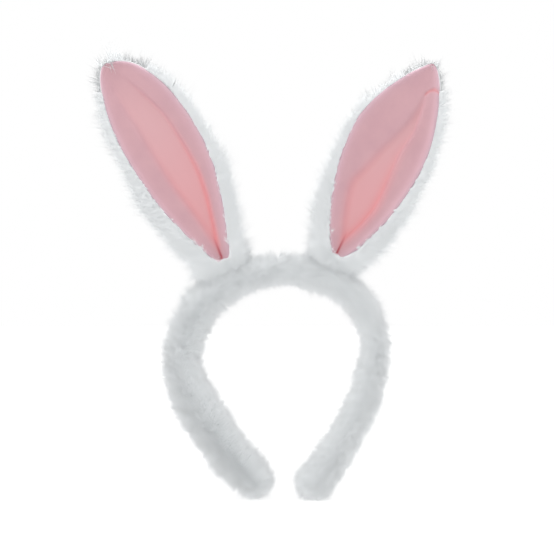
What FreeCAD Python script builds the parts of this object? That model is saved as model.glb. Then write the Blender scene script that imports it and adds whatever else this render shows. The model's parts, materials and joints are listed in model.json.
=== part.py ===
"""Rabbit ears on a plush covered hair band, one STEP file for each piece.

Millimetres.  -Y is the front (the pink side), +X is to the right as seen from the front,
and +Z is up; left and right are as seen from the front.  The origin is where the crown of
the band rests on the head: the underside of the plush at the middle.  The band lies in
the XZ plane and the ears stand on its shoulders.
"""
import FreeCAD
import Part
import math
import os

V = FreeCAD.Vector

# ---------------------------------------------------------------- driving dimensions
CROWN_RADIUS = 10.2          # plush tube at the middle of the crown, which sets the origin
PLUSH_THICK = 4.5            # knitted backing and pile together, pressed as sewn
CORE_WIDTH = 7.0             # moulded plastic strip inside the band
CORE_THICK = 1.8
CORE_STOP = 9.0              # the strip, and the wadding, end this far short of each tip
PAD_STOP = 3.5
TIP_DEPTH = 6.0              # rounding of the closed tips, and its sections
TIP_TURNS = [math.radians(d) for d in (25, 50, 72)]
THREAD_RADIUS = 0.4
GROOVE_RADIUS = 0.5          # room for the seam's thread in the plush
SEAM_GROOVE = 0.65           # how deep the seam lies
WIRE_RADIUS = 0.8            # bendable wire in the ear's edge
STEM_RADIUS = 1.3            # two wires twisted together
JOINT_GAP = 0.25             # half the gap between two bodies at a bend

FLEX_OUT = 20.0              # an arm opens this far, and closes this far, in degrees
FLEX_IN = 5.0
FLOP_BACK = 10.0             # an ear's top half bends this far backwards
CUT_MARGIN = 1.2             # extra degrees in every wedge

EAR_CUP = 110.0              # radius of the ear's hollow front
LINING_THICK = 0.9
EAR_BACK_FACE = -1.5         # depth of the back's inner face at the ear's middle
FLOP_AT = 0.47               # the ear bends at this part of its length
TILT_HEIGHT = 2.5            # height of the fore and aft bend above the spread bend
EAR_START = 6.0              # the ear's cloth starts this far above the root
LINING_START = 8.0
BORDER_BASE = 13.5           # white border beside the lining, at the base and at the tip
BORDER_TIP = 5.5

# Centre line of the band from the crown outwards: across, down, plush radius.
LEFT_ARM = [
    (-18.0, -4.6, 10.6), (-36.0, -11.0, 11.4), (-49.5, -21.5, 11.8), (-58.5, -38.0, 12.0),
    (-63.2, -57.0, 12.2), (-60.0, -76.0, 13.4), (-50.5, -95.0, 14.6), (-37.5, -114.0, 14.6),
    (-24.5, -130.5, 14.0), (-13.0, -142.0, 12.4),
]
RIGHT_ARM = [
    (18.0, -2.2, 10.6), (35.0, -6.6, 11.0), (49.5, -17.8, 11.4), (61.0, -33.0, 10.4),
    (65.0, -51.0, 9.2), (62.0, -69.0, 10.2), (56.0, -89.5, 11.2), (45.5, -109.5, 11.2),
    (34.5, -128.0, 12.2), (24.0, -142.5, 12.4),
]
FLEX_POINT = 3               # the arm's point, counted from 0, where it bends

# The lining's edges at parts of its length, across from the root's axis.  Each tip is blunt
# and leans to one side.
EAR_PARTS = (0.09, 0.18, 0.27, 0.38, 0.46, 0.55, 0.64, 0.73, 0.82, 0.88, 0.92, 0.95, 0.98)
EARS = {
    "left": {
        "side": -1, "lean": 27.8, "length": 154.0, "tip": -7.5, "root": (-35.2, 2.6),
        "left_edge": (-7.5, -12.9, -17.0, -20.8, -22.3, -23.6, -24.3, -23.6, -21.6, -19.6,
                      -17.8, -16.2, -13.6),
        "right_edge": (10.8, 16.0, 20.2, 24.8, 26.5, 27.0, 26.2, 24.0, 20.4, 16.2, 12.4,
                       9.0, 3.2),
    },
    "right": {
        "side": 1, "lean": 25.7, "length": 144.5, "tip": 3.2, "root": (37.7, 6.8),
        "left_edge": (-9.6, -16.2, -20.6, -24.4, -26.2, -27.0, -26.3, -22.8, -18.2, -13.8,
                      -10.4, -7.2, -3.0),
        "right_edge": (11.6, 17.2, 21.4, 24.6, 26.2, 26.9, 26.0, 23.4, 19.6, 16.2, 13.6,
                       11.2, 8.0),
    },
}

FOOT_DEPTH = 12.0            # from the ear's root down to the core
FOOT_TURNS = (-3.9, -2.2, 2.2, 3.9)
FOOT_LENGTH = 10.0
TAPE = 0.4
EAR_THICK = 6.0              # the ear's plush back
STEM_GAP = 0.4
STEM_SWING = 0.75            # half the gap that lets the stem swing over its foot
WIRE_BORDER = 2.6            # the wire and the edge seam lie this far outside the lining
WIRE_START = 5.3
BORDER_RISE = 8             # how late a border turns upwards on its way to the blunt tip
SEAM_BORDER = 0.85
SEAM_START = 7.1
LAID_GAP = 0.08              # a wire or thread laid on the cloth clears its mesh by this
TACK_LENGTH = 4.0            # three stitches across the pinched pleat
TACK_SPACING = 1.2
TACK_RISE = 4.0
RING_RADIUS = 1.6            # the drawn thread at each tip, and its knot
KNOT_RADIUS = 1.0
BEND_REACH = 30.0            # longer than the plush is thick, for the wedge at a shoulder

CROWN_SECTIONS = 15          # sections in the lofts
ARM_SECTIONS = 14
CORE_SECTIONS = 12
SEAM_SECTIONS = 19
EDGE_SECTIONS = 40

BIG = 200.0                  # larger than any piece, for the cutting solids


# ---------------------------------------------------------------- helpers
def save(name, shape):
    """Write one piece, and print its volume."""
    shape.exportStep(os.path.join("parts", name + ".step"))
    print("%-24s solids %d  volume %9.1f  valid %s"
          % (name, len(shape.Solids), shape.Volume, shape.isValid()))


def round_tube(centres, tangents, radii):
    """A solid through round sections, each square to the line at its own centre."""
    rings = []
    for centre, tangent, radius in zip(centres, tangents, radii):
        rings.append(Part.Wire([Part.Circle(centre, tangent, radius).toShape()]))
    return Part.makeLoft(rings, True, False)


def tube_on_curve(curve, radius, count):
    """A thin wire or thread along a curve."""
    first, last = curve.FirstParameter, curve.LastParameter
    steps = [first + (last - first) * i / (count - 1) for i in range(count)]
    centres = [curve.value(s) for s in steps]
    tangents = [curve.tangent(s)[0] for s in steps]
    return round_tube(centres, tangents, [radius] * count)


def prism_xz(corners):
    """A prism through the whole depth of the object, from corners in the XZ plane."""
    points = [V(x, -BIG, z) for x, z in corners]
    face = Part.Face(Part.makePolygon(points + points[:1]))
    return face.extrude(V(0, 2 * BIG, 0))


# ---------------------------------------------------------------- the band's route
def band_route():
    """One smooth curve from tip to tip.  Its Y value carries the plush radius."""
    points = [V(x, r, z) for x, z, r in reversed(LEFT_ARM)]
    points.append(V(0, CROWN_RADIUS, 0))
    points += [V(x, r, z) for x, z, r in RIGHT_ARM]
    curve = Part.BSplineCurve()
    curve.interpolate([V(p.x, p.y, p.z + CROWN_RADIUS) for p in points])
    return curve


ROUTE = band_route()


def station(u):
    """Centre, direction towards the right, outward normal and plush radius."""
    point = ROUTE.value(u)
    slope = ROUTE.tangent(u)[0]
    along = V(slope.x, 0, slope.z)
    along.normalize()
    outward = V(-along.z, 0, along.x)
    return V(point.x, 0, point.z), along, outward, point.y


def parameter_at(arm, index):
    x, z, radius = arm[index]
    return ROUTE.parameter(V(x, radius, z + CROWN_RADIUS))


def spaced(start, stop, count):
    return [start + (stop - start) * i / (count - 1) for i in range(count)]


def plush_tube(start, stop, shrink, count, closed_end=None, end_depth=0.0):
    """The band's round body, less shrink all round, with an optional rounded end."""
    centres, tangents, radii = [], [], []
    for u in spaced(start, stop, count):
        centre, along, _, radius = station(u)
        centres.append(centre)
        tangents.append(along)
        radii.append(radius - shrink)
    if closed_end:
        centre, along, radius = centres[-1], tangents[-1], radii[-1]
        for angle in TIP_TURNS:
            centres.append(centre + along * (closed_end * end_depth * math.sin(angle)))
            tangents.append(along)
            radii.append(radius * math.cos(angle))
    return round_tube(centres, tangents, radii)


def core_strip(start, stop, count, width=CORE_WIDTH, thick=CORE_THICK):
    """A flat strip that follows the route with its width along Y."""
    frames = []
    for u in spaced(start, stop, count):
        centre, _, outward, _ = station(u)
        across, through = V(0, width / 2, 0), outward * (thick / 2)
        corners = [centre + across + through, centre - across + through,
                   centre - across - through, centre + across - through]
        frames.append(Part.makePolygon(corners + corners[:1]))
    return Part.makeLoft(frames, True, False)


def seam_thread(start, stop, count, radius):
    """The closing seam, sunk in the pile along the side that faces the head."""
    centres, tangents = [], []
    for u in spaced(start, stop, count):
        centre, along, outward, plush = station(u)
        centres.append(centre - outward * (plush - SEAM_GROOVE))
        tangents.append(along)
    return round_tube(centres, tangents, [radius] * count)


# ---------------------------------------------------------------- the ear's own frame
def ear_placement(ear):
    """From an upright ear at the origin to the ear's place on the band."""
    x, z = ear["root"]
    turn = FreeCAD.Rotation(V(0, 1, 0), ear["side"] * ear["lean"])
    return FreeCAD.Placement(V(x, 0, z + CROWN_RADIUS), turn)


def place_ear(ear, shape):
    shape.Placement = ear_placement(ear).multiply(shape.Placement)
    return shape


def outline_points(ear, border_base, border_tip, start):
    """Points round the ear's cloth, from the root up its left side and down its right."""
    left, right = [], []
    for part, left_edge, right_edge in zip(EAR_PARTS, ear["left_edge"], ear["right_edge"]):
        border = border_base + (border_tip - border_base) * part
        height = LINING_START + part * (ear["length"] - LINING_START)
        height += border * part ** BORDER_RISE
        left.append(V(left_edge - border, 0, height))
        right.append(V(right_edge + border, 0, height))
    root, tip = V(0, 0, start), V(ear["tip"], 0, ear["length"] + border_tip)
    return [root] + left + [tip] + right[::-1] + [root]


def outline_curve(ear, border_base, border_tip, start):
    curve = Part.BSplineCurve()
    curve.interpolate(outline_points(ear, border_base, border_tip, start))
    return curve


def cupped_sheet(curve, front_radius, thick):
    """The outline cut out of a hollow sheet that faces forwards."""
    axis_depth = EAR_BACK_FACE - EAR_CUP
    height = 2 * BIG
    base = V(0, axis_depth, -BIG)
    shell = Part.makeCylinder(front_radius + thick, height, base)
    shell = shell.cut(Part.makeCylinder(front_radius, height, base))
    face = Part.Face(Part.Wire([curve.toShape()]))
    column = face.extrude(V(0, BIG, 0))
    column.translate(V(0, -BIG / 2, 0))
    return column.common(shell)


def edge_line(ear, border, radius, start, count):
    """A wire or thread round the lining's edge, lying on the hollow front."""
    flat = outline_curve(ear, border, border, start)
    reach = EAR_CUP - radius - LAID_GAP
    axis_depth = EAR_BACK_FACE - EAR_CUP
    first, last = flat.FirstParameter, flat.LastParameter
    margin = (last - first) * 0.012
    points = []
    for s in spaced(first + margin, last - margin, count):
        p = flat.value(s)
        points.append(V(p.x, axis_depth + math.sqrt(reach ** 2 - p.x ** 2), p.z))
    curve = Part.BSplineCurve()
    curve.interpolate(points)
    return tube_on_curve(curve, radius, count)


def split_at_flop(ear, shape, front_depth):
    """Lower and upper part, with the wedge that lets the top bend back."""
    height = ear["length"] * FLOP_AT
    slope = math.tan(math.radians(FLOP_BACK + CUT_MARGIN))
    low = height - JOINT_GAP
    high = height + JOINT_GAP
    below = Part.makeBox(2 * BIG, 2 * BIG, BIG + low, V(-BIG, -BIG, -BIG))
    corners = [V(-BIG, front_depth, high), V(-BIG, front_depth - BIG, high),
               V(-BIG, front_depth - BIG, high + BIG), V(-BIG, front_depth + BIG, high + BIG),
               V(-BIG, front_depth + BIG, high + BIG * slope)]
    above = Part.Face(Part.makePolygon(corners + corners[:1])).extrude(V(2 * BIG, 0, 0))
    return shape.common(below), shape.common(above)


# ---------------------------------------------------------------- pieces of the band
def rounded_box(length, width, height, radius):
    """A box round the origin, its four long edges rounded, with its length along X."""
    box = Part.makeBox(length, width, height, V(-length / 2, -width / 2, -height / 2))
    long_edges = [e for e in box.Edges if abs(e.tangentAt(e.FirstParameter).x) > 0.9]
    return box.makeFillet(radius, long_edges)


def wire_foot(ear, core):
    """Where an ear's wire is wound on the core: the turns, the post and the tape."""
    x, z = ear["root"]
    root = V(x, 0, z + CROWN_RADIUS)
    nearest = ROUTE.parameter(V(x, CROWN_RADIUS, root.z - FOOT_DEPTH))
    centre, along, outward, _ = station(nearest)
    lean = math.atan2(outward.x, outward.z)
    place = FreeCAD.Placement(centre, FreeCAD.Rotation(V(0, 1, 0), math.degrees(lean)))
    wound_width = CORE_WIDTH + 4 * WIRE_RADIUS
    wound_height = CORE_THICK + 4 * WIRE_RADIUS
    turns = []
    for offset in FOOT_TURNS:
        turn = rounded_box(2 * WIRE_RADIUS, wound_width, wound_height, WIRE_RADIUS)
        turn.translate(V(offset, 0, 0))
        turns.append(turn)
    full = rounded_box(FOOT_LENGTH, wound_width + 2 * TAPE, wound_height + 2 * TAPE, WIRE_RADIUS)
    inside = rounded_box(FOOT_LENGTH + 2, wound_width, wound_height, WIRE_RADIUS)
    tape = full.cut(inside)
    for shape in turns + [full, tape]:
        shape.Placement = place
    top = ear_placement(ear).multVec(V(0, 0, -STEM_SWING))
    post = Part.makeCylinder(STEM_RADIUS, (top - centre).Length, centre, top - centre)
    post = post.cut(core)
    post = max(post.Solids, key=lambda solid: solid.BoundBox.ZMax)
    turns = [turn.cut(core).cut(post) for turn in turns]
    return Part.makeCompound(turns + [post]), tape.cut(post), full, post


def bend_wedges(index, arm):
    """What an arm leaves out so that it can open and close at its bend."""
    centre, along, outward, _ = station(parameter_at(arm, index))
    down = along if arm is RIGHT_ARM else along * -1
    wedges = []
    for direction, degrees in ((outward, FLEX_OUT), (outward * -1, FLEX_IN)):
        slope = math.tan(math.radians(degrees + CUT_MARGIN))
        apex = centre + down * JOINT_GAP
        far = apex + (direction + down * slope) * BEND_REACH
        corners = [apex, far, centre + direction * BEND_REACH - down, centre - down]
        wedges.append(prism_xz([(p.x, p.z) for p in corners]))
    return wedges


def band_pieces():
    """The crown and the two arms: core, wadding, plush sleeve and closing seam."""
    flex_left = parameter_at(LEFT_ARM, FLEX_POINT)
    flex_right = parameter_at(RIGHT_ARM, FLEX_POINT)
    first, last = ROUTE.FirstParameter, ROUTE.LastParameter
    step = (last - first) / ROUTE.length()               # parameter for one millimetre
    gap = JOINT_GAP * step
    start, stop = flex_left + gap, flex_right - gap

    core = core_strip(start, stop, CROWN_SECTIONS)
    outer = plush_tube(start, stop, 0.0, CROWN_SECTIONS)
    inner = plush_tube(start, stop, PLUSH_THICK, CROWN_SECTIONS)
    groove = seam_thread(start - gap, stop + gap, SEAM_SECTIONS, GROOVE_RADIUS)
    wadding = inner.cut(core)
    sleeve = outer.cut(inner).cut(groove)
    for name, ear in EARS.items():
        wire, tape, full, post = wire_foot(ear, core)
        wadding = wadding.cut(full).cut(post)
        sleeve = sleeve.cut(post)
        save(name + "_wire_foot", wire)
        save(name + "_foot_tape", tape)
    save("core_crown", core)
    save("wadding_crown", max(wadding.Solids, key=lambda solid: solid.Volume))
    save("sleeve_crown", sleeve)
    save("seam_crown", seam_thread(start + gap, stop - gap, SEAM_SECTIONS, THREAD_RADIUS))

    for name, arm in (("left", LEFT_ARM), ("right", RIGHT_ARM)):
        bend = flex_left - gap if name == "left" else flex_right + gap
        tip = first if name == "left" else last
        toward_tip = -1 if name == "left" else 1
        core_end = tip - toward_tip * CORE_STOP * step
        pad_end = tip - toward_tip * PAD_STOP * step
        wedges = bend_wedges(FLEX_POINT, arm)

        def clear_of_bend(shape):
            for wedge in wedges:
                shape = shape.cut(wedge)
            return shape

        core = clear_of_bend(core_strip(bend, core_end, CORE_SECTIONS))
        outer = clear_of_bend(plush_tube(bend, tip, 0.0, ARM_SECTIONS, toward_tip, TIP_DEPTH))
        inner = clear_of_bend(plush_tube(bend, pad_end, PLUSH_THICK, ARM_SECTIONS, toward_tip,
                                         TIP_DEPTH / 2))
        thread = seam_thread(bend, tip, SEAM_SECTIONS, THREAD_RADIUS)
        groove = seam_thread(bend, tip, SEAM_SECTIONS, GROOVE_RADIUS)
        save("core_%s_arm" % name, core)
        save("wadding_%s_arm" % name, inner.cut(core))
        save("sleeve_%s_arm" % name, outer.cut(inner).cut(groove))
        save("seam_%s_arm" % name, clear_of_bend(thread))
        save("tip_stitch_%s" % name, tip_stitch(tip, toward_tip))


def tip_stitch(tip, toward_tip):
    """The drawn thread that gathers the sleeve shut, as a small ring and knot on the tip."""
    centre, along, _, _ = station(tip)
    face = centre + along * (toward_tip * (TIP_DEPTH * math.sin(TIP_TURNS[-1]) + LAID_GAP))
    ring = Part.makeTorus(RING_RADIUS, THREAD_RADIUS, face + along * toward_tip * THREAD_RADIUS,
                          along)
    knot = Part.makeSphere(KNOT_RADIUS, face + along * toward_tip * KNOT_RADIUS)
    return Part.makeCompound([ring, knot])


# ---------------------------------------------------------------- pieces of an ear
def ear_pieces(name, ear):
    """Stem, plush back, lining, wire and edge seam of one ear."""
    back = cupped_sheet(outline_curve(ear, BORDER_BASE, BORDER_TIP, EAR_START), EAR_CUP, EAR_THICK)
    lining = cupped_sheet(outline_curve(ear, 0.0, 0.0, LINING_START),
                          EAR_CUP - LINING_THICK, LINING_THICK)
    wire = edge_line(ear, WIRE_BORDER, WIRE_RADIUS, WIRE_START, EDGE_SECTIONS)
    seam = edge_line(ear, SEAM_BORDER, THREAD_RADIUS, SEAM_START, EDGE_SECTIONS)
    fold_front = ear_front_depth(ear)
    for label, shape in (("back", back), ("lining", lining), ("wire", wire), ("seam", seam)):
        lower, upper = split_at_flop(ear, shape, fold_front)
        save("%s_ear_%s_lower" % (name, label), place_ear(ear, lower))
        save("%s_ear_%s_upper" % (name, label), place_ear(ear, upper))

    stem = Part.makeCylinder(STEM_RADIUS, EAR_START - STEM_GAP - STEM_SWING, V(0, 0, STEM_SWING))
    save("%s_ear_stem" % name, place_ear(ear, stem))
    depth = EAR_BACK_FACE - LINING_THICK - THREAD_RADIUS - LAID_GAP
    stitches = []
    for row in range(3):
        start = V(-TACK_LENGTH / 2, depth, LINING_START + TACK_RISE + TACK_SPACING * row)
        stitches.append(Part.makeCylinder(THREAD_RADIUS, TACK_LENGTH, start, V(1, 0, 0)))
    save("%s_ear_pleat_tack" % name, place_ear(ear, Part.makeCompound(stitches)))


def ear_front_depth(ear):
    """Depth of the ear's foremost edge where it bends, and so of the bend's axis."""
    half = max(max(ear["right_edge"]), -min(ear["left_edge"])) + BORDER_BASE
    sag = EAR_CUP - math.sqrt(EAR_CUP ** 2 - half ** 2)
    return EAR_BACK_FACE - sag - 1.0


def print_axes():
    """The joints' places, in metres, for the record."""
    for name, ear in EARS.items():
        place = ear_placement(ear)
        spread = place.multVec(V(0, 0, 0))
        tilt = place.multVec(V(0, 0, TILT_HEIGHT))
        flop = place.multVec(V(0, ear_front_depth(ear), ear["length"] * FLOP_AT))
        across = place.Rotation.multVec(V(1, 0, 0))
        print(name, "spread", spread * 0.001, "tilt", tilt * 0.001, "flop", flop * 0.001,
              "across", across)
    for name, arm in (("left", LEFT_ARM), ("right", RIGHT_ARM)):
        print(name, "flex", station(parameter_at(arm, FLEX_POINT))[0] * 0.001)


os.makedirs("parts", exist_ok=True)
band_pieces()
for ear_name, ear_sizes in EARS.items():
    ear_pieces(ear_name, ear_sizes)
print_axes()
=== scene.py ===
"""Rabbit ears on a plush covered hair band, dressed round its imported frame."""
import json
import math

import bmesh
import bpy
import numpy as np
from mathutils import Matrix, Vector
from mathutils.kdtree import KDTree


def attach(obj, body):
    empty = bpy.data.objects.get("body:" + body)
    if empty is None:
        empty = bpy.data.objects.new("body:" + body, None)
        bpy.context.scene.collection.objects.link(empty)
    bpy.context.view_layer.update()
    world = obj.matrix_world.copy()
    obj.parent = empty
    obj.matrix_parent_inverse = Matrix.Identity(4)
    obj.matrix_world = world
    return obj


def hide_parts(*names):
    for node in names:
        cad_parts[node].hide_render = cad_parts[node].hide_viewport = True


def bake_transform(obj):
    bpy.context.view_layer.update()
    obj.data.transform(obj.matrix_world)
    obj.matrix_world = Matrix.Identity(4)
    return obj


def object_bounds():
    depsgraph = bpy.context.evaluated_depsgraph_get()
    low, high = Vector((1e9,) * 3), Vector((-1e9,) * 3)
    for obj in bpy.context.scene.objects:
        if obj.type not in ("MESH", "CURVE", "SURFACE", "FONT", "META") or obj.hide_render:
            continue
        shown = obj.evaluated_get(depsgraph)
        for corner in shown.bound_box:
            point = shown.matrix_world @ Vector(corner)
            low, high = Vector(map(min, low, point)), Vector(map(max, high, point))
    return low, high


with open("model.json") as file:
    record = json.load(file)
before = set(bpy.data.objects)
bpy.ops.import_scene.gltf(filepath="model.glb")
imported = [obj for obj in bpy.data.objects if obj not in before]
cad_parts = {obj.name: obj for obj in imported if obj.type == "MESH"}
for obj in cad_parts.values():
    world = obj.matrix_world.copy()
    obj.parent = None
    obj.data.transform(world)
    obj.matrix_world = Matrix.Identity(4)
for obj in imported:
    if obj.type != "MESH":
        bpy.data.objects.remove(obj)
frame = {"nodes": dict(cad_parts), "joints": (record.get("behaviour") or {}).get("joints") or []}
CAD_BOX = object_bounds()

MM = 0.001

# ------------------------------------------------------------------ sizes, in millimetres
CROWN_RADIUS = 10.2                    # plush radius at the middle of the crown
PILE_HEIGHT = 4.9                      # from the backing up to the tops of the pile
BACKING_THICK = 0.4
BAND_PILE = 6.3                        # length of a tuft on the band, on an ear, and round
EAR_PILE = 7.8                         # an ear's root
SKIRT_PILE = 9.0
TIP_PILE = {"left": (5.0, 4.0), "right": (2.0, 3.0)}   # longer by this beside an ear's tip
TUFT_RADIUS = 0.20
FIBRE_RADIUS = 0.13
TIP_DEPTH = 4.0                        # rounding of the band's closed tips
STITCH = 0.9                           # half the width of the sleeve's closing stitches
EAR_BEND = 11.0                        # reach along an ear's up direction at its flop

# The band's centre line from the crown outwards: across, down, plush radius.
BAND_ROUTE = {
    "left": [
        (-18.0, -4.8, 10.8), (-36.0, -11.6, 12.0), (-49.0, -22.0, 12.2), (-57.2, -38.0, 12.0),
        (-64.0, -57.0, 11.4), (-60.2, -76.0, 13.2), (-50.2, -95.0, 14.4),
        (-37.5, -114.0, 14.2), (-24.5, -130.5, 13.2), (-13.0, -142.6, 12.2),
    ],
    "right": [
        (18.0, -1.8, 10.4), (35.0, -6.2, 10.6), (49.8, -17.2, 10.2), (60.8, -33.0, 9.8),
        (66.0, -51.0, 9.0), (63.0, -69.0, 9.8), (56.8, -89.5, 10.8), (46.4, -109.5, 10.8),
        (35.0, -128.0, 11.8), (23.4, -144.0, 12.8),
    ],
}

# Each lining's edges, across from the root's axis, at parts of its length from the root up.
# Its tip is blunt and leans over to one side.  The plush border lies outside these edges.
EDGE_PARTS = (0.0, 0.03, 0.09, 0.18, 0.27, 0.38, 0.46, 0.55, 0.64, 0.73, 0.82, 0.88, 0.92, 0.95,
              0.98)
BORDER_PARTS = (0.0, 0.18, 0.28, 0.38, 0.47, 0.57, 0.67, 0.75, 0.83, 1.0)
EARS = {
    "left": {
        "length": 154.3,
        "tip": -7.5,
        "left_edge": (-1.0, -4.2, -7.9, -12.9, -17.0, -20.8, -22.3, -23.6, -24.3, -23.6, -21.3,
                      -18.9, -17.0, -15.2, -12.4),
        "right_edge": (4.6, 7.6, 10.8, 16.0, 20.2, 24.8, 26.5, 27.0, 26.2, 24.0, 20.4, 16.2, 12.4,
                       9.0, 3.2),
        "left_border": (7.0, 8.5, 8.5, 7.5, 5.5, 3.2, 2.4, 2.0, 1.6, 0.6),
        "right_border": (4.5, 5.5, 6.4, 5.6, 4.2, 3.2, 2.4, 2.2, 2.0, 1.4),
        # where the two long creases run, as shares of the half width
        "crease_at": (0.0, 0.08, 0.165, 0.28, 0.40, 0.56, 0.70, 0.84, 1.0),
        "left_crease": (0.1, 0.10, 0.0, -0.13, -0.25, -0.31, -0.33, -0.45, -0.5),
        "right_crease": (0.15, 0.28, 0.42, 0.54, 0.56, 0.52, 0.50, 0.34, 0.2),
        "cross_crease": None,
    },
    "right": {
        "length": 144.6,
        "tip": 3.2,
        "left_edge": (-2.6, -4.4, -10.2, -16.2, -20.6, -24.4, -26.2, -27.0, -26.3, -22.6, -16.8,
                      -11.6, -7.8, -4.4, -0.6),
        "right_edge": (2.6, 7.2, 12.2, 17.2, 21.4, 24.6, 26.2, 26.9, 26.0, 23.4, 19.6, 16.2, 13.6,
                       11.2, 8.0),
        "left_border": (7.0, 7.5, 5.0, 3.8, 3.2, 2.4, 1.8, 0.0, -1.0, 0.6),
        "right_border": (7.5, 8.0, 5.4, 4.0, 3.6, 2.8, 2.4, 2.0, 1.6, 0.8),
        "crease_at": (0.0, 0.09, 0.17, 0.27, 0.35, 0.45, 0.56, 0.685, 0.85, 1.0),
        "left_crease": (0.0, -0.1, -0.33, -0.46, -0.5, -0.27, -0.1, 0.14, 0.34, 0.36),
        "right_crease": (0.0, 0.1, 0.36, 0.46, 0.44, 0.37, 0.33, 0.46, 0.43, 0.44),
        "cross_crease": 0.862,
    },
}
CUP_RADIUS = 110.0                     # the ear's hollow front
EAR_FRONT = -1.5                       # depth of the ear's middle, in the ear's own frame
LEAN_POWER = 5                         # how late the ear's middle line leans to its tip
LINING_START = 0.8                     # the lining starts this far above the root,
BACK_START = -7.0                      # and the plush back this far below it
BACK_OVER = 0.8                        # the back's tip rises this far over the lining's

# The lining's folds.
STRIP_DEPTH = 1.7                      # how far the middle strip lies back
ROLL_RIGHT = 1.3                       # how far the flanks roll forwards beside it
ROLL_LEFT = 0.6
RIM_ROLL = 0.9
RUFFLE = 0.15                          # fine gathers beside the root, across and in depth
RUFFLE_DEPTH = 0.2

# How the pile lies.
DENSITY = 1.0
PILE_COUNTS = {                        # full tufts, and thin fibres beyond them
    "band": (7500, 17000), "edge": (8000, 16000), "back": (8500, 18000), "skirt": (3400, 8000),
}
CLUMP_TUFTS = 22                       # tufts that are drawn together
CLUMP_LEAN = 0.72                      # how far a clump leans over
SWELL_SEED = 5                         # slow swells of the pile's length, and their share
SWELL = 0.12
ARM_GLOW = 0.45                        # how far the arms' shading turns away from the head
PAINTED_PILE_GLOW = 0.15                       # painted glow: the pile emits light, standing in for light that passes from fibre to fibre

BAND_ROWS = 84                         # points along each half of the band's line, and the
ARM_ROW = 22                           # one where its arm starts to turn down
PER_SPAN = 12                          # points on each span of a smooth line
WELD = 1e-6                            # points of a mesh this close are one, in metres
CAMERA_LENS = 85.0
CAMERA_SENSOR = 36.0
CAMERA_DISTANCE = 0.870                # in metres
CAMERA_HEIGHT = 0.0050
# Light from the front, through the sides (0.5), round to the back.
ROUND_LIGHT = 3.1
ROUND_LEVELS = ((0.0, 0.21), (0.3, 0.27), (0.5, 0.72), (0.7, 0.27), (1.0, 0.21))


# ------------------------------------------------------------------ places from the frame
def joint(name):
    return next(j for j in frame["joints"] if j["name"] == name)


def ear_frame(side):
    """The ear's root, and its directions across, backwards and up."""
    root = Vector(joint(side + "_ear_spread")["pos_m"])
    across = Vector(joint(side + "_ear_tilt")["axis"]).normalized()
    back = Vector((0, 1, 0))
    return root, across, back, across.cross(back).normalized()


def in_ear(side, across_mm, depth_mm, up_mm):
    root, across, back, up = ear_frame(side)
    return root + (across * across_mm + back * depth_mm + up * up_mm) * MM


# ------------------------------------------------------------------ smooth lines and profiles
def smooth_profile(parts, values, spread=0.06):
    """A smooth function through given values, by averaging a broken line."""
    fine = np.linspace(-0.3, 1.3, 801)
    line = np.interp(fine, parts, values)
    window = np.hanning(int(2 * spread / 0.002) | 1)
    line = np.convolve(np.pad(line, len(window) // 2, mode="edge"), window / window.sum(), "valid")
    return lambda t: np.interp(t, fine, line)


def smooth_step(value, low, high):
    t = min(max((value - low) / (high - low), 0.0), 1.0)
    return t * t * (3 - 2 * t)


def bell(value, width):
    return math.exp(-(value / width) ** 2)


def through(points):
    """A smooth line through the points, Catmull-Rom."""
    points = np.array(points, float)
    ends = np.vstack([2 * points[0] - points[1], points, 2 * points[-1] - points[-2]])
    rows = []
    for i in range(1, len(ends) - 2):
        p0, p1, p2, p3 = ends[i - 1:i + 3]
        for k in range(PER_SPAN):
            t = k / PER_SPAN
            rows.append(0.5 * (2 * p1 + (p2 - p0) * t + (2 * p0 - 5 * p1 + 4 * p2 - p3) * t * t
                               + (3 * p1 - p0 - 3 * p2 + p3) * t ** 3))
    rows.append(points[-1])
    return np.array(rows)


def evenly(line, count):
    """The line again, as evenly spaced points."""
    steps = np.linalg.norm(np.diff(line[:, :2], axis=0), axis=1)
    along = np.concatenate([[0], np.cumsum(steps)])
    at = np.linspace(0, along[-1], count)
    return np.stack([np.interp(at, along, line[:, k]) for k in range(line.shape[1])], axis=1)


def band_line(side, count):
    """Points from the crown's middle to the tip: across, height and plush radius, in metres."""
    other = "right" if side == "left" else "left"
    route = [BAND_ROUTE[other][0], (0.0, 0.0, CROWN_RADIUS)] + BAND_ROUTE[side]
    line = through(route)[PER_SPAN:]
    line[:, 1] += CROWN_RADIUS
    return evenly(line, count) * MM


def run_of(line):
    """Unit steps along a band line."""
    slope = np.gradient(line[:, :2], axis=0)
    return slope / np.linalg.norm(slope, axis=1, keepdims=True)


# ------------------------------------------------------------------ mesh helpers
def into_scene(name, data):
    made = bpy.data.objects.new(name, data)
    bpy.context.scene.collection.objects.link(made)
    return made


def smooth_piece(name, mesh, look):
    for face in mesh.polygons:
        face.use_smooth = True
    mesh.materials.append(look)
    return into_scene(name, mesh)


def new_piece(name, bm, look):
    mesh = bpy.data.meshes.new(name)
    bm.to_mesh(mesh)
    bm.free()
    return smooth_piece(name, mesh, look)


def surface(columns, rows, place):
    """A grid laid on place(u, v), u across and v along, with its own UV map."""
    bm = bmesh.new()
    bmesh.ops.create_grid(bm, x_segments=columns, y_segments=rows, size=0.5, calc_uvs=True)
    uv = bm.loops.layers.uv.verify()
    for face in bm.faces:
        for loop in face.loops:
            loop[uv].uv = (loop.vert.co.x + 0.5, loop.vert.co.y + 0.5)
    for vert in bm.verts:
        vert.co = place(vert.co.x + 0.5, vert.co.y + 0.5)
    bmesh.ops.remove_doubles(bm, verts=bm.verts, dist=WELD)
    bmesh.ops.recalc_face_normals(bm, faces=bm.faces)
    return bm


def solidify(piece, thick):
    """A wall grown inwards from the piece's surface."""
    mod = piece.modifiers.new("thickness", "SOLIDIFY")
    mod.thickness = thick
    mod.offset = -1.0


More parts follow.
